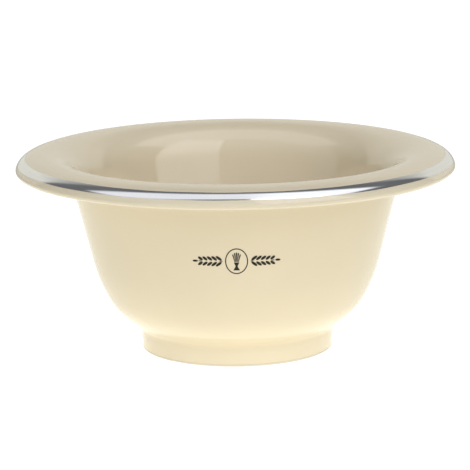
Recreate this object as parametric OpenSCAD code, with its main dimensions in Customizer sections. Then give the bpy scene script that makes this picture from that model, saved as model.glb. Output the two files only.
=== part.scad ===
// Glazed porcelain shaving bowl with a flared, rolled lip and a foot ring.
// Millimetres, +Z up. The origin is the centre of the foot's bearing face,
// and the printed mark faces -Y.
//
// The bowl is one fired clay body. The pieces laid on it are the glaze, a
// second patch of glaze under the base, a metal lustre band and a printed mark.

/* [Size] */
// Diameter across the lip
rim_d = 140; // [126:1:154]
// Height from the table to the top of the lip
bowl_h = 63.6; // [60:0.1:70]
// Diameter of the foot ring at the table
foot_d = 61; // [57:0.5:64]

/* [Wall] */
// Lean of the straight wall from the vertical, in degrees
wall_lean = 13.9; // [12:0.1:16]
// Outside radius where the straight wall starts, above the belly
wall_low_r = 46.2; // [45:0.1:48]
// Height of the start of the straight wall
wall_low_z = 30.2; // [28:0.1:32]
// Height of the end of the straight wall, below the lip
wall_high_z = 51.6; // [49:0.1:53]
// Thickness of the straight wall
wall_t = 4.3; // [3.6:0.1:5]
// Height of the inside floor at the centre
floor_z = 9; // [8:0.1:11]

/* [Foot] */
// Width of the foot ring
foot_w = 3.2; // [2.8:0.1:4]
// Height of the foot ring's outer side
foot_h = 4.4; // [3.8:0.1:5]
// Depth of the recess under the base
base_z = 3.8; // [3:0.1:4.5]
// Rounding of the foot ring's edges, which is also the bare clay's height
foot_edge = 0.8; // [0.5:0.1:1]

/* [Surface layers] */
// Thickness of the glaze
glaze_t = 0.3; // [0.2:0.05:0.5]
// Thickness of the metal lustre and of the printed mark
film_t = 0.06; // [0.05:0.01:0.15]

/* [Printed mark] */
// Height of the mark's centre
mark_z = 37.6; // [36:0.1:42]
// Half the height of the oval ring in the middle of the mark
oval_h = 4.2; // [3:0.1:4.5]
// Half the width of the oval ring
oval_w = 3.5; // [2.5:0.1:4]
// Width of the oval's line
oval_line = 0.32; // [0.25:0.01:0.6]
// Pairs of leaves on each side
leaf_pairs = 5; // [3:1:6]

/* [Hidden] */

$fn = 96;
rim_r = rim_d / 2;
foot_r = foot_d / 2;
steps = 8;        // straight pieces in each curve of the profile
taper = 4;        // steps over which the glaze thins out at its edge
wall_a = 90 - wall_lean;
wall_high_r = wall_low_r + (wall_high_z - wall_low_z) * tan(wall_lean);
wall_in = wall_t / cos(wall_lean);

// Each station is [radius, height, heading]. The heading is the direction of
// travel in degrees: 0 is outward and 90 is up. The clay is on the left.
// The glazed surface, from the foot, up the outside and down the inside
glazed = [
    [foot_r, foot_edge, 90],
    [foot_r + 0.2, foot_h, 86],
    [foot_r + 1.4, foot_h + 3.3, 40],
    [foot_r + 7.7, foot_h + 8.8, 47],
    [wall_low_r - 3.05, wall_low_z - 9.1, 65.6],
    [wall_low_r, wall_low_z, wall_a],
    [wall_high_r, wall_high_z, wall_a],
    [wall_high_r + 5, bowl_h - 6.7, 4],
    [rim_r - 3.7, bowl_h - 6.6, 12],
    [rim_r, bowl_h - 4.8, 90],
    [rim_r - 0.7, bowl_h - 3.1, 125],
    [rim_r - 3, bowl_h - 1.2, 155],
    [rim_r - 9, bowl_h, 180],
    [wall_high_r - wall_in + 0.5, wall_high_z + 2, 180 + wall_a],
    [wall_low_r - wall_in, wall_low_z, 180 + wall_a],
    [wall_low_r - wall_in - 3.6, wall_low_z - 10, 241],
    [foot_r - 4, floor_z + 2.4, 196],
    [0, floor_z, 180]
];
// The lustre band covers the curve between these two stations
band_from = 10;
band_to = 11;

// The glazed recess under the base, from the axis to the foot's inner edge
recess = [
    [0, base_z, 0],
    [foot_r - foot_w - 2.6, base_z - 0.3, -4],
    [foot_r - foot_w, foot_edge, -90]
];

// The bare bearing ring, from its inner edge to its outer edge
bearing = [
    [foot_r - foot_w, foot_edge, -90],
    [foot_r - foot_w + foot_edge, 0, 0],
    [foot_r - foot_edge, 0, 0],
    [foot_r, foot_edge, 90]
];

function unit(heading) = [cos(heading), sin(heading)];
function place(station) = [station[0], station[1]];

// Length of a curve's handles: exact for a straight line, close for an arc
function reach(a, b) = norm(place(b) - place(a)) / (3 * pow(cos((b[2] - a[2]) / 4), 2));

// A point of the cubic curve from station a to station b, as a station
function along(a, b, t) =
    let (
        h = reach(a, b),
        p0 = place(a),
        p1 = p0 + h * unit(a[2]),
        p3 = place(b),
        p2 = p3 - h * unit(b[2]),
        s = 1 - t,
        p = s * s * s * p0 + 3 * s * s * t * p1 + 3 * s * t * t * p2 + t * t * t * p3,
        d = s * s * (p1 - p0) + 2 * s * t * (p2 - p1) + t * t * (p3 - p2)
    )
    [p[0], p[1], atan2(d[1], d[0])];

// All the points of a chain of stations
function chain(st) = [
    for (i = [0 : len(st) - 2], k = [0 : steps - 1]) along(st[i], st[i + 1], k / steps),
    st[len(st) - 1]
];

// A point moved to the left of its heading, into the clay
function sunk(p, depth) = [max(0, p[0] - depth * sin(p[2])), p[1] + depth * cos(p[2])];

// The glaze's thickness at the point that is n steps from its edge
function coat(n) = glaze_t * min(1, (n + 1) / taper);

function reversed(list) = [for (i = [len(list) - 1 : -1 : 0]) list[i]];

glazed_pts = chain(glazed);
recess_pts = chain(recess);
bearing_pts = chain(bearing);
glazed_last = len(glazed_pts) - 1;
recess_last = len(recess_pts) - 1;
// The clay under the glaze
clay_outer = [for (i = [0 : glazed_last]) sunk(glazed_pts[i], coat(i))];
clay_recess = [for (i = [0 : recess_last]) sunk(recess_pts[i], coat(recess_last - i))];
clay_bearing = [for (i = [1 : len(bearing_pts) - 2]) place(bearing_pts[i])];

// The fired clay: wall, lip, floor and foot ring in one
module porcelain_body() {
    color("#efe6d2")
    rotate_extrude()
    polygon(concat(clay_outer, clay_recess, clay_bearing));
}

// The glaze over the outside, the lip and the inside
module glaze_coat() {
    color("#e8dcbe")
    rotate_extrude()
    polygon(concat([for (p = glazed_pts) place(p)], reversed(clay_outer)));
}

// The glaze inside the foot ring
module base_glaze() {
    color("#e8dcbe")
    rotate_extrude()
    polygon(concat([for (p = recess_pts) place(p)], reversed(clay_recess)));
}

// The metal lustre band on the lip's shoulder
module rim_band() {
    band = [for (i = [band_from * steps : band_to * steps]) glazed_pts[i]];
    color("#b9c1c8")
    rotate_extrude()
    polygon(concat([for (p = band) sunk(p, -film_t)], reversed([for (p = band) place(p)])));
}

// A flat oval as a polygon
module oval(half_w, half_h) {
    polygon([for (a = [0 : 10 : 350]) [half_w * cos(a), half_h * sin(a)]]);
}

// A pointed leaf from the origin along +X
module leaf(length, width) {
    tip = [for (a = [0 : 22.5 : 157.5]) [length * (1 - cos(a)) / 2, width * sin(a) / 2]];
    polygon(concat(tip, [for (a = [180 : 22.5 : 337.5])
        [length * (1 - cos(a)) / 2, width * sin(a) / 2]]));
}

// A shaving brush, standing on its handle
module brush() {
    handle = [
        for (k = [0 : 12])
        let (t = k / 12)
        [0.95 - 0.2 * t - 0.5 * pow(sin(180 * t), 2), -3 + 2.6 * t]
    ];
    polygon(concat(handle, reversed([for (p = handle) [-p[0], p[1]]])));
    for (k = [-2 : 2])
        polygon([
            [0.28 * k - 0.1, -0.2],
            [0.28 * k + 0.1, -0.2],
            [0.56 * k + 0.2, 2.7 - 0.16 * k * k],
            [0.56 * k, 2.95 - 0.16 * k * k],
            [0.56 * k - 0.2, 2.7 - 0.16 * k * k]
        ]);
}

// A sprig of leaves beside the oval, along +X
module sprig() {
    pitch = 1.45;
    start = oval_w + 0.8;
    translate([start, -0.12]) square([pitch * leaf_pairs, 0.24]);
    for (k = [0 : leaf_pairs - 1], side = [-1, 1])
        translate([start + 0.25 + pitch * k, side * 0.28])
        rotate(side * 38)
        leaf(2.2 - 0.12 * k, 0.85);
    translate([start + 0.25 + pitch * leaf_pairs, 0]) leaf(1.6, 0.7);
}

// The printed mark: a brush in an oval between two sprigs
module printed_mark() {
    z0 = mark_z - oval_h - 1;
    z1 = mark_z + oval_h + 1;
    r0 = wall_low_r + (z0 - wall_low_z) * tan(wall_lean);
    r1 = wall_low_r + (z1 - wall_low_z) * tan(wall_lean);
    film = film_t / cos(wall_lean);
    color("#2c261e")
    intersection() {
        rotate_extrude()
        polygon([[r0, z0], [r0 + film, z0], [r1 + film, z1], [r1, z1]]);
        translate([0, 0, mark_z])
        rotate([90, 0, 0])
        linear_extrude(height = rim_r) {
            difference() {
                oval(oval_w, oval_h);
                oval(oval_w - oval_line, oval_h - oval_line);
            }
            brush();
            sprig();
            mirror([1, 0, 0]) sprig();
        }
    }
}

porcelain_body();
glaze_coat();
base_glaze();
rim_band();
printed_mark();
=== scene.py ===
"""Looks of the glazed porcelain shaving bowl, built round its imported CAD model.

The bowl is turned from one profile: a chain of stations joined by smooth curves, the same
construction as the CAD part's, at a much finer step. Profile lengths are in millimetres.
"""

import math

import bmesh
import bpy
from mathutils import Matrix, Vector


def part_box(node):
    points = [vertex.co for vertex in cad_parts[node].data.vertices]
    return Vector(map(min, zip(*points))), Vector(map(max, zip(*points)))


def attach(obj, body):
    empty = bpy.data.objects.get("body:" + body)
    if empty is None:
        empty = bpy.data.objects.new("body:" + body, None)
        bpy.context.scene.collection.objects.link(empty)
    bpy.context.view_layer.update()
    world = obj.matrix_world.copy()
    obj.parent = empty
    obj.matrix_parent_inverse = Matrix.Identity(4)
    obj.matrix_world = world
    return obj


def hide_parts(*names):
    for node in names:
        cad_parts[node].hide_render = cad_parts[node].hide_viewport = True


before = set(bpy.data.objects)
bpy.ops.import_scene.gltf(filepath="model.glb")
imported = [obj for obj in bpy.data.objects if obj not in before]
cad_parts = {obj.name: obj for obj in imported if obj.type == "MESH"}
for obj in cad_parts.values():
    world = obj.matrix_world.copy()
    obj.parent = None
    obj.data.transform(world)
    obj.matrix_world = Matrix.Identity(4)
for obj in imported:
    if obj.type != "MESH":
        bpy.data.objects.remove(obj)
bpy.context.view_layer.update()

MM = 0.001

# ---------------------------------------------------------------- sizes, in millimetres
glaze_lo, glaze_hi = (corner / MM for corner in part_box("glaze_coat"))
base_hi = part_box("base_glaze")[1] / MM
mark_lo, mark_hi = (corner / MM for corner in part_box("printed_mark"))

GLAZE_T = 0.3
FILM_T = 0.06
FOOT_W = 3.2
FOOT_H = 4.4
WALL_LEAN = 13.9
WALL_T = 4.3
WALL_LOW_R, WALL_LOW_Z = 46.2, 30.2
WALL_HIGH_Z = 51.6
FLOOR_Z = 9.0

RIM_R = glaze_hi.x
BOWL_H = glaze_hi.z
FOOT_EDGE = glaze_lo.z
FOOT_R = base_hi.x + FOOT_W
BASE_Z = base_hi.z - GLAZE_T
LEAN = math.tan(math.radians(WALL_LEAN))
WALL_A = 90 - WALL_LEAN
WALL_HIGH_R = WALL_LOW_R + (WALL_HIGH_Z - WALL_LOW_Z) * LEAN
WALL_IN = WALL_T / math.cos(math.radians(WALL_LEAN))

STEPS = 14          # straight pieces in each curve of the profile
AROUND = 288        # straight pieces round the axis
TAPER_MM = 2.0      # length over which the glaze thins out at its edge

# Each station is (radius, height, heading in degrees); the clay is on the left.
GLAZED = [
    (FOOT_R, FOOT_EDGE, 90),
    (FOOT_R + 0.2, FOOT_H, 86),
    (FOOT_R + 1.4, FOOT_H + 3.3, 40),
    (FOOT_R + 7.7, FOOT_H + 8.8, 47),
    (WALL_LOW_R - 3.05, WALL_LOW_Z - 9.1, 65.6),
    (WALL_LOW_R, WALL_LOW_Z, WALL_A),
    (WALL_HIGH_R, WALL_HIGH_Z, WALL_A),
    (WALL_HIGH_R + 5, BOWL_H - 6.7, 4),
    (RIM_R - 3.7, BOWL_H - 6.6, 12),
    (RIM_R, BOWL_H - 4.8, 90),
    (RIM_R - 0.7, BOWL_H - 3.1, 125),
    (RIM_R - 3, BOWL_H - 1.2, 155),
    (RIM_R - 9, BOWL_H, 180),
    (WALL_HIGH_R - WALL_IN + 0.5, WALL_HIGH_Z + 2, 180 + WALL_A),
    (WALL_LOW_R - WALL_IN, WALL_LOW_Z, 180 + WALL_A),
    (WALL_LOW_R - WALL_IN - 3.6, WALL_LOW_Z - 10, 241),
    (FOOT_R - 4, FLOOR_Z + 2.4, 196),
    (0, FLOOR_Z, 180),
]
BAND_FROM, BAND_TO = 10, 11
RECESS = [
    (0, BASE_Z, 0),
    (FOOT_R - FOOT_W - 2.6, BASE_Z - 0.3, -4),
    (FOOT_R - FOOT_W, FOOT_EDGE, -90),
]
BEARING = [
    (FOOT_R - FOOT_W, FOOT_EDGE, -90),
    (FOOT_R - FOOT_W + FOOT_EDGE, 0, 0),
    (FOOT_R - FOOT_EDGE, 0, 0),
    (FOOT_R, FOOT_EDGE, 90),
]


# ---------------------------------------------------------------- profile curves
def unit(heading):
    return Vector((math.cos(math.radians(heading)), math.sin(math.radians(heading))))


def along(a, b, t):
    """The point (radius, height, heading) at t on the smooth curve from station a to b."""
    p0, p3 = Vector(a[:2]), Vector(b[:2])
    handle = (p3 - p0).length / (3 * math.cos(math.radians(b[2] - a[2]) / 4) ** 2)
    p1, p2 = p0 + handle * unit(a[2]), p3 - handle * unit(b[2])
    s = 1 - t
    p = s**3 * p0 + 3 * s * s * t * p1 + 3 * s * t * t * p2 + t**3 * p3
    d = s * s * (p1 - p0) + 2 * s * t * (p2 - p1) + t * t * (p3 - p2)
    return p.x, p.y, math.degrees(math.atan2(d.y, d.x))


def chain(stations):
    """All the points of a chain of stations."""
    points = []
    for a, b in zip(stations, stations[1:]):
        points += [along(a, b, k / STEPS) for k in range(STEPS)]
    return points + [tuple(stations[-1])]


def sunk(point, depth):
    """A profile point moved to the left of its heading, into the clay."""
    r, z, heading = point
    turn = math.radians(heading)
    return max(0.0, r - depth * math.sin(turn)), z + depth * math.cos(turn), heading


def lengths(points):
    """Distance along the profile of each of its points."""
    run = [0.0]
    for a, b in zip(points, points[1:]):
        run.append(run[-1] + math.hypot(b[0] - a[0], b[1] - a[1]))
    return run


def turning(points):
    """Curvature at each point, per millimetre: positive on an edge, negative in a hollow."""
    run = lengths(points)
    last = len(points) - 1
    bend = []
    for i in range(len(points)):
        lo, hi = max(0, i - 2), min(last, i + 2)
        change = (points[hi][2] - points[lo][2] + 180) % 360 - 180
        bend.append(math.radians(change) / (run[hi] - run[lo]))
    return bend


glazed_pts = chain(GLAZED)
recess_pts = chain(RECESS)
bearing_pts = chain(BEARING)
glazed_run = lengths(glazed_pts)
recess_run = lengths(recess_pts)


def coat(distance):
    """Thickness of the glaze at a distance from its edge."""
    t = min(1.0, distance / TAPER_MM)
    return GLAZE_T * (0.15 + 0.85 * math.sin(t * math.pi / 2))


clay_outer = [sunk(p, coat(s)) for p, s in zip(glazed_pts, glazed_run)]
clay_recess = [sunk(p, coat(recess_run[-1] - s)) for p, s in zip(recess_pts, recess_run)]


# ---------------------------------------------------------------- meshes
SHARP = math.radians(32)    # edges that turn more than this are drawn sharp


def finish_mesh(name, bm, material, node):
    """Turns a bmesh into a smooth-shaded piece that rides on the bowl's one body."""
    bmesh.ops.recalc_face_normals(bm, faces=bm.faces)
    for face in bm.faces:
        face.smooth = True
    for edge in bm.edges:
        edge.smooth = edge.calc_face_angle(0.0) < SHARP
    mesh = bpy.data.meshes.new(name)
    bm.to_mesh(mesh)
    bm.free()
    mesh.materials.append(material)
    piece = bpy.data.objects.new(name, mesh)
    bpy.context.scene.collection.objects.link(piece)
    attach(piece, "root")
    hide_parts(node)


def lathe(points, pool=None, wobble=None):
    """Turns a closed profile of (radius, height) points, in millimetres, round +Z.

    pool gives each profile point's glaze depth, kept as a vertex attribute. wobble moves a
    point by the angle round the axis: it takes the point's index and the angle.
    """
    bm = bmesh.new()
    depth = bm.verts.layers.float.new("glaze_depth")
    rings = []
    for i, point in enumerate(points):
        turns = 1 if point[0] < 1e-6 else AROUND
        ring = []
        for k in range(turns):
            angle = 2 * math.pi * k / AROUND
            r, z = (point[0], point[1]) if wobble is None else wobble(i, angle)
            vert = bm.verts.new((r * math.sin(angle) * MM, -r * math.cos(angle) * MM, z * MM))
            vert[depth] = 0.0 if pool is None else pool[i]
            ring.append(vert)
        rings.append(ring)
    on_axis = len(rings[0]) == 1 and len(rings[-1]) == 1
    pairs = zip(rings, rings[1:]) if on_axis else zip(rings, rings[1:] + rings[:1])
    for lower, upper in pairs:
        if len(lower) == 1 and len(upper) == 1:
            continue
        for k in range(AROUND):
            n = (k + 1) % AROUND
            corners = [lower[k % len(lower)], lower[n % len(lower)],
                       upper[n % len(upper)], upper[k % len(upper)]]
            bm.faces.new(list(dict.fromkeys(corners)))
    return bm


# ---------------------------------------------------------------- materials
class Nodes:
    """A short way to write one node tree."""

    def __init__(self, tree):
        self.tree = tree
        tree.nodes.clear()

    def add(self, kind, values=None, **settings):
        node = self.tree.nodes.new(kind)
        for key, value in settings.items():
            setattr(node, key, value)
        for socket, value in (values or {}).items():
            if isinstance(value, bpy.types.NodeSocket):
                self.tree.links.new(value, node.inputs[socket])
            else:
                node.inputs[socket].default_value = value
        return node

    def noise(self, feature_mm, detail=3.0, vector=None, roughness=0.5):
        """Noise whose blotches are about feature_mm across."""
        where = vector or self.object_place()
        return self.add("ShaderNodeTexNoise", {
            "Vector": where, "Scale": 1 / (feature_mm * MM), "Detail": detail,
            "Roughness": roughness,
        }).outputs["Fac"]

    def spread(self, value, low, high, new_low=0.0, new_high=1.0, smooth=False):
        """Maps low..high to new_low..new_high, and holds the ends."""
        return self.add("ShaderNodeMapRange", {
            "Value": value, "From Min": low, "From Max": high,
            "To Min": new_low, "To Max": new_high,
        }, interpolation_type="SMOOTHSTEP" if smooth else "LINEAR").outputs["Result"]

    def maths(self, operation, *values):
        return self.add("ShaderNodeMath", dict(enumerate(values)),
                        operation=operation).outputs[0]

    def object_place(self):
        return self.add("ShaderNodeTexCoord").outputs["Object"]

    def split(self, vector):
        return self.add("ShaderNodeSeparateXYZ", {"Vector": vector}).outputs


def new_material(name):
    material = bpy.data.materials.new(name)
    material.use_nodes = True
    return material, Nodes(material.node_tree)


def mix_colours(nodes, amount, first, second):
    """Blends two colours, each a socket or an (r, g, b) triple."""
    mix = nodes.tree.nodes.new("ShaderNodeMix")
    mix.data_type = "RGBA"
    for socket, value in ((mix.inputs[0], amount), (mix.inputs[6], first), (mix.inputs[7], second)):
        if isinstance(value, bpy.types.NodeSocket):
            nodes.tree.links.new(value, socket)
        elif isinstance(value, tuple):
            socket.default_value = (*value, 1.0)
        else:
            socket.default_value = value
    return mix.outputs[2]


def bump(nodes, height, depth_mm, strength=1.0, below=None):
    values = {"Height": height, "Distance": depth_mm * MM, "Strength": strength}
    if below is not None:
        values["Normal"] = below
    return nodes.add("ShaderNodeBump", values).outputs["Normal"]


def output(nodes, values):
    shader = nodes.add("ShaderNodeBsdfPrincipled", values)
    nodes.add("ShaderNodeOutputMaterial", {"Surface": shader.outputs["BSDF"]})


# Colours, where a pair is the two ends that a noise mixes
GLAZE = (0.80, 0.715, 0.53)
GLAZE_DEEP = (0.77, 0.67, 0.48)
GLAZE_THIN = (0.83, 0.76, 0.59)
CLAY = ((0.62, 0.55, 0.44), (0.74, 0.68, 0.57))
CLAY_SPECK = (0.22, 0.16, 0.1)
CLAY_WORN = (0.36, 0.33, 0.3)
LUSTRE = ((0.81, 0.84, 0.875), (0.88, 0.905, 0.93))
INK = ((0.006, 0.005, 0.004), (0.020, 0.016, 0.011))

GLAZE_IOR = 1.72        # high, for a very glossy glaze
SPECK_MM = 1.3          # distance between the clay's specks
RUBBED_MM = 0.25        # height over which the foot ring is rubbed by the table
STREAK_TURN_MM = 12     # one turn round the lip, in the space of the lustre's streaks


def glaze_material():
    """Ivory glaze: deeper where it pools, thinner on edges, with a faint orange peel."""
    material, nodes = new_material("ivory_glaze")
    depth = nodes.add("ShaderNodeAttribute", attribute_name="glaze_depth").outputs["Fac"]
    pooled = nodes.spread(depth, 0.0, 1.0, smooth=True)
    thinned = nodes.spread(depth, 0.0, -1.0, smooth=True)
    cloud = nodes.spread(nodes.noise(22, 4.0), 0.35, 0.65)
    darker, lighter = (tuple(gain * c for c in GLAZE) for gain in (0.985, 1.01))
    body = mix_colours(nodes, cloud, darker, lighter)
    body = mix_colours(nodes, pooled, body, GLAZE_DEEP)
    body = mix_colours(nodes, thinned, body, GLAZE_THIN)
    waves = bump(nodes, nodes.noise(9, 1.0), 0.012)
    peel = bump(nodes, nodes.noise(1.1, 2.0), 0.0012, below=waves)
    output(nodes, {
        "Base Color": body, "Roughness": nodes.spread(nodes.noise(6), 0.3, 0.7, 0.05, 0.085),
        "IOR": GLAZE_IOR, "Normal": peel,
    })
    return material


def clay_material():
    """Bare fired clay on the bearing ring: fine grain, tiny specks, greyed where it rubs."""
    material, nodes = new_material("bare_porcelain")
    grain = nodes.noise(0.25, 6.0, roughness=0.7)
    body = mix_colours(nodes, nodes.spread(grain, 0.3, 0.7), *CLAY)
    where = nodes.object_place()
    specks = nodes.add("ShaderNodeTexVoronoi", {"Vector": where, "Scale": 1 / (SPECK_MM * MM)})
    speck = nodes.spread(specks.outputs["Distance"], 0.06, 0.1, 1.0, 0.0)
    body = mix_colours(nodes, nodes.spread(speck, 0.0, 1.0, 0.0, 0.6), body, CLAY_SPECK)
    rubbed = nodes.spread(nodes.split(where)["Z"], RUBBED_MM * MM, 0.0, smooth=True)
    scuffs = nodes.spread(nodes.noise(3, 5.0), 0.4, 0.62)
    worn = nodes.maths("MULTIPLY", rubbed, scuffs)
    body = mix_colours(nodes, nodes.spread(worn, 0.0, 1.0, 0.0, 0.45), body, CLAY_WORN)
    output(nodes, {
        "Base Color": body, "Roughness": nodes.spread(grain, 0.3, 0.7, 0.62, 0.8),
        "IOR": 1.45, "Normal": bump(nodes, grain, 0.03, 0.8),
    })
    return material


def lustre_material():
    """Fired metal lustre: a bright film with faint brush streaks that run round the lip."""
    material, nodes = new_material("metal_lustre")
    place = nodes.split(nodes.object_place())
    angle = nodes.maths("ARCTAN2", place["X"], place["Y"])
    stretched = nodes.add("ShaderNodeCombineXYZ", {
        "X": nodes.spread(angle, -math.pi, math.pi, 0.0, STREAK_TURN_MM * MM),
        "Y": place["Z"],
    }).outputs["Vector"]
    streaks = nodes.noise(0.35, 4.0, vector=stretched, roughness=0.6)
    patches = nodes.noise(7, 3.0)
    colour = mix_colours(nodes, nodes.spread(streaks, 0.3, 0.7), *LUSTRE)
    output(nodes, {
        "Base Color": colour, "Metallic": 1.0,
        "Roughness": nodes.spread(patches, 0.3, 0.7, 0.07, 0.13),
        "Normal": bump(nodes, streaks, 0.0015, 0.6),
    })
    return material


def ink_material():
    """Dark fired print, a little uneven in density as transfers are."""
    material, nodes = new_material("mark_ink")
    density = nodes.spread(nodes.noise(0.5, 5.0, roughness=0.65), 0.35, 0.7)
    colour = mix_colours(nodes, density, *INK)
    output(nodes, {
        "Base Color": colour, "Roughness": nodes.spread(density, 0.0, 1.0, 0.3, 0.42),
        "IOR": 1.4, "Normal": bump(nodes, density, 0.004, 0.5),
    })
    return material


# ---------------------------------------------------------------- the bowl's pieces
POOLING_MM = 4.0        # radius of a hollow in which the glaze lies at its deepest


def make_bowl():
    glaze = glaze_material()
    # Glaze runs off edges and gathers in hollows: curvature, softened, gives its depth.
    bend = turning(glazed_pts)
    near = [bend[max(0, i - 3):i + 4] for i in range(len(bend))]
    pool = [max(-1.0, min(1.0, -POOLING_MM * sum(few) / len(few))) for few in near]
    shell = glazed_pts + clay_outer[::-1]
    finish_mesh("glaze_surface", lathe(shell, pool + pool[::-1]), glaze, "glaze_coat")

    recess_shell = recess_pts + clay_recess[::-1]
    finish_mesh("base_glaze_surface", lathe(recess_shell), glaze, "base_glaze")

    clay = clay_outer + clay_recess + bearing_pts[1:-1]
    finish_mesh("clay_body", lathe(clay), clay_material(), "porcelain_body")


def make_band():
    """The lustre line: a thin strip whose two edges wander slightly, as painted ones do."""
    inner = glazed_pts[BAND_FROM * STEPS:BAND_TO * STEPS + 1]
    outer = [sunk(p, -FILM_T) for p in inner]
    run = lengths(inner)
    loop = outer + inner[::-1]
    place = [s / run[-1] for s in run]
    place += place[::-1]

    def wander(i, angle):
        edge = 0.05 * math.sin(7 * angle + 1.1) + 0.035 * math.sin(17 * angle + 0.4)
        far_edge = 0.04 * math.sin(9 * angle + 2.6) + 0.03 * math.sin(23 * angle)
        shift = edge * (1 - place[i]) + far_edge * place[i]
        r, z, heading = loop[i]
        step = unit(heading) * shift
        return r + step.x, z + step.y

    bm = lathe(loop, wobble=wander)
    finish_mesh("lustre_band", bm, lustre_material(), "rim_band")


MARK_Z = (mark_lo.z + mark_hi.z) / 2
OVAL_W, OVAL_H, OVAL_LINE = 3.5, 4.2, 0.32
LEAF_PAIRS = 5
LEAF_PITCH = 1.45
INK_SINK = 0.02             # how far the ink's back lies inside the glaze


def oval(half_w, half_h, count=96):
    turns = [2 * math.pi * k / count for k in range(count)]
    return [(half_w * math.cos(a), half_h * math.sin(a)) for a in turns]


def leaf(length, width, angle, x, y, count=24):
    """A pointed leaf from (x, y), at an angle in degrees."""
    ahead, side = unit(angle), unit(angle + 90)
    points = []
    for k in range(count):
        a = 2 * math.pi * k / count
        p = ahead * (length * (1 - math.cos(a)) / 2) + side * (width * math.sin(a) / 2)
        points.append((x + p.x, y + p.y))
    return points


def brush_outlines():
    """A shaving brush standing on its handle: the handle, then five tufts."""
    side = []
    for k in range(25):
        t = k / 24
        side.append((0.95 - 0.2 * t - 0.5 * math.sin(math.pi * t) ** 2, -3 + 2.6 * t))
    outlines = [side + [(-x, y) for x, y in reversed(side)]]
    for k in range(-2, 3):
        top = 2.7 - 0.16 * k * k
        outlines.append([
            (0.28 * k - 0.1, -0.2), (0.28 * k + 0.1, -0.2), (0.56 * k + 0.2, top),
            (0.56 * k, top + 0.25), (0.56 * k - 0.2, top),
        ])
    return outlines


def sprig_outlines(side):
    """A stem with pairs of leaves, to the right for side 1 and to the left for side -1."""
    start = OVAL_W + 0.8
    reach = LEAF_PITCH * LEAF_PAIRS
    outlines = [[(start, -0.12), (start + reach, -0.12), (start + reach, 0.12), (start, 0.12)]]
    for k in range(LEAF_PAIRS):
        for up in (-1, 1):
            x = start + 0.25 + LEAF_PITCH * k
            outlines.append(leaf(2.2 - 0.12 * k, 0.85, 38 * up, x, 0.28 * up))
    outlines.append(leaf(1.6, 0.7, 0, start + 0.25 + reach, 0))
    return [[(side * x, y) for x, y in outline] for outline in outlines]


def on_wall(x, y, lift):
    """The point of the leaning wall straight behind (x, y), lifted off it by lift."""
    z = MARK_Z + y
    r = WALL_LOW_R + (z - WALL_LOW_Z) * LEAN + lift / math.cos(math.radians(WALL_LEAN))
    return Vector((x, -math.sqrt(r * r - x * x), z)) * MM


def make_mark():
    """The printed mark: each island of ink is a thin plate bent to the wall."""
    bm = bmesh.new()

    def wall_between(outer, inner):
        for k in range(len(outer)):
            n = (k + 1) % len(outer)
            bm.faces.new((outer[k], outer[n], inner[n], inner[k]))

    def ring_of(outline, lift):
        return [bm.verts.new(on_wall(x, y, lift)) for x, y in outline]

    for outline in brush_outlines() + sprig_outlines(1) + sprig_outlines(-1):
        front, back = ring_of(outline, FILM_T), ring_of(outline, -INK_SINK)
        caps = [bm.faces.new(front), bm.faces.new(back[::-1])]
        wall_between(front, back)
        bmesh.ops.triangulate(bm, faces=caps)
    loops = []
    for inset in (0, OVAL_LINE):
        outline = oval(OVAL_W - inset, OVAL_H - inset)
        loops.append((ring_of(outline, FILM_T), ring_of(outline, -INK_SINK)))
    (outer_front, outer_back), (inner_front, inner_back) = loops
    wall_between(outer_front, inner_front)
    wall_between(inner_front, inner_back)
    wall_between(inner_back, outer_back)
    wall_between(outer_back, outer_front)
    finish_mesh("mark_print", bm, ink_material(), "printed_mark")


# ---------------------------------------------------------------- camera
CAMERA_BACK = 0.900         # metres in front of the bowl's axis
CAMERA_DOWN = 11.55         # degrees below the horizontal
CAMERA_ROLL = 0.75          # degrees
AIM = Vector((-0.0004, 0.0, 0.03595))
SENSOR = 36                 # millimetres
LENS = 219.3                # millimetres


def make_camera():
    data = bpy.data.cameras.new("camera")
    data.sensor_width = SENSOR
    data.lens = LENS
    data.clip_start, data.clip_end = 0.01, 50
    camera = bpy.data.objects.new("camera", data)
    bpy.context.scene.collection.objects.link(camera)
    height = AIM.z + CAMERA_BACK * math.tan(math.radians(CAMERA_DOWN))
    place = Vector((0, -CAMERA_BACK, height))
    ahead = (AIM - place).normalized()
    turn = ahead.to_track_quat("-Z", "Y").to_matrix().to_4x4()
    roll = Matrix.Rotation(-math.radians(CAMERA_ROLL), 4, "Z")
    camera.matrix_world = Matrix.Translation(place) @ turn @ roll
    bpy.context.scene.camera = camera


# ---------------------------------------------------------------- table and light
# Directions are in degrees: azimuth 0 is the camera's side, 90 is +X, and 90 up is overhead.
WARM = (1.0, 0.97, 0.86)
COOL = (1.0, 0.985, 1.0)
TABLE_GREY = (0.25, 0.25, 0.25)
TABLE_HALF = 6                  # half the table's width, in metres
SEEN = 1.1                      # brightness of the table and the room to the camera

# Brightness of the table at the foot, close to the bowl, far in front and far behind
TABLE_FOOT, TABLE_NEAR, TABLE_FRONT, TABLE_BACK = 1.18, 0.97, 0.10, 0.33
FOOT_TO_NEAR = (0.033, 0.055)   # metres from the axis between which it changes
NEAR_TO_FAR = (0.18, 0.34)      # the same
FRONT_TO_BACK = (-0.2, 0.4)     # metres along +Y

# Brightness of the room, and of what each light adds to it
ROOM = 0.15
KEY = 1.3
FILL = 0.42
OVERHEAD, OVERHEAD_RIGHT = 0.76, 1.0
LOW_FRONT = 1.4
BEHIND = 0.62
# Azimuths and elevations that a light fills
KEY_AT = ((13, 67), (12, 67))
FILL_AT = ((-89, 13), (7, 60))
LOW_FRONT_AT = ((-46, 34), (-20, 9))
# The long overhead light lies along X: its X and Y on a flat ceiling 1 unit up
OVERHEAD_AT = ((-1.05, 0.9), (-0.42, 0.30))


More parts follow.
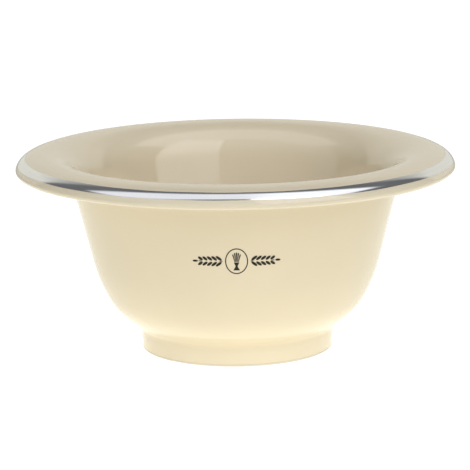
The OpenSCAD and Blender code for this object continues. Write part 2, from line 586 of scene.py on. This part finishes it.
def only_for_camera(nodes, seen, felt):
    """One shader for what the camera sees, and another for what lights the bowl."""
    ray = nodes.add("ShaderNodeLightPath").outputs["Is Camera Ray"]
    return nodes.add("ShaderNodeMixShader", {0: ray, 1: felt, 2: seen}).outputs[0]


def make_table():
    """A large white table that glows, as a lit product table does, most of all at the bowl."""
    bm = bmesh.new()
    bmesh.ops.create_grid(bm, x_segments=1, y_segments=1, size=TABLE_HALF)
    mesh = bpy.data.meshes.new("table")
    bm.to_mesh(mesh)
    bm.free()
    table = bpy.data.objects.new("table", mesh)
    bpy.context.scene.collection.objects.link(table)
    material, nodes = new_material("table_white")
    where = nodes.object_place()
    away = nodes.add("ShaderNodeVectorMath", {0: where}, operation="LENGTH").outputs["Value"]
    near = nodes.spread(away, *FOOT_TO_NEAR, TABLE_FOOT, TABLE_NEAR, smooth=True)
    depth = nodes.split(where)["Y"]
    far = nodes.spread(depth, *FRONT_TO_BACK, TABLE_FRONT, TABLE_BACK, smooth=True)
    fade = nodes.spread(away, *NEAR_TO_FAR, smooth=True)
    glow = nodes.add("ShaderNodeMix", {0: fade, 2: near, 3: far}).outputs[0]
    felt = nodes.add("ShaderNodeBsdfPrincipled", {
        "Base Color": (*TABLE_GREY, 1), "Roughness": 0.9, "Specular IOR Level": 0.0,
        "Emission Color": (*WARM, 1), "Emission Strength": glow,
    }).outputs[0]
    seen = nodes.add("ShaderNodeEmission", {"Color": (1, 1, 0.99, 1), "Strength": SEEN})
    nodes.add("ShaderNodeOutputMaterial", {
        "Surface": only_for_camera(nodes, seen.outputs[0], felt),
    })
    mesh.materials.append(material)


def panel(nodes, plane, ranges, radiance, soft):
    """A rectangle of light with soft edges, over two coordinates of the direction."""
    shape = radiance
    for place, (low, high) in zip(plane, ranges):
        for edge, inward in ((low, soft), (high, -soft)):
            side = nodes.spread(place, edge - inward, edge + inward, smooth=True)
            shape = nodes.maths("MULTIPLY", shape, side)
    return shape


def make_light():
    """The studio round the bowl, as the brightness of each direction."""
    world = bpy.data.worlds.new("studio")
    world.use_nodes = True
    bpy.context.scene.world = world
    nodes = Nodes(world.node_tree)
    x, y, z = nodes.split(nodes.add("ShaderNodeTexCoord").outputs["Generated"])
    turn = nodes.maths("ARCTAN2", x, nodes.maths("MULTIPLY", y, -1))
    azimuth = nodes.maths("DEGREES", turn)
    elevation = nodes.maths("DEGREES", nodes.maths("ARCSINE", z))
    round_about = (azimuth, elevation)

    # The key is brighter in its upper part.
    key = panel(nodes, round_about, KEY_AT, KEY, 1.5)
    key = nodes.maths("MULTIPLY", key, nodes.spread(elevation, 16, 34, 0.90, 1.34))
    fill = panel(nodes, round_about, FILL_AT, FILL, 1.5)

    # Below the horizon the ceiling's X and Y mean nothing, so the light ends above it.
    ceiling = [nodes.maths("DIVIDE", axis, z) for axis in (x, y)]
    top = panel(nodes, ceiling, OVERHEAD_AT, 1.0, 0.10)
    top = nodes.maths("MULTIPLY", top, nodes.spread(elevation, 20, 30))
    to_right = nodes.spread(x, 0.0, 0.2, OVERHEAD, OVERHEAD_RIGHT, smooth=True)
    top = nodes.maths("MULTIPLY", top, to_right)

    # The horizon glows low in front, and higher up behind.
    front = panel(nodes, round_about, LOW_FRONT_AT, LOW_FRONT, 5)
    behind = nodes.spread(y, 0.52, 0.62, 0.0, BEHIND, smooth=True)
    back = nodes.maths("MULTIPLY", behind, nodes.spread(elevation, 52, 24, smooth=True))
    low = nodes.maths("ADD", front, back)

    # Panels hide each other where they overlap, so the brightest one counts.
    panels = nodes.maths("MAXIMUM", nodes.maths("MAXIMUM", key, fill), top)
    total = nodes.maths("ADD", nodes.maths("ADD", low, ROOM), panels)
    colour = mix_colours(nodes, nodes.spread(low, 0.0, 0.4), COOL, WARM)
    felt = nodes.add("ShaderNodeBackground", {"Color": colour, "Strength": total})
    seen = nodes.add("ShaderNodeBackground", {"Color": (1, 1, 1, 1), "Strength": SEEN})
    nodes.add("ShaderNodeOutputWorld", {
        "Surface": only_for_camera(nodes, seen.outputs[0], felt.outputs[0]),
    })


make_camera()
make_bowl()
make_band()
make_mark()
make_table()
make_light()
bpy.context.scene.view_settings.view_transform = "Standard"
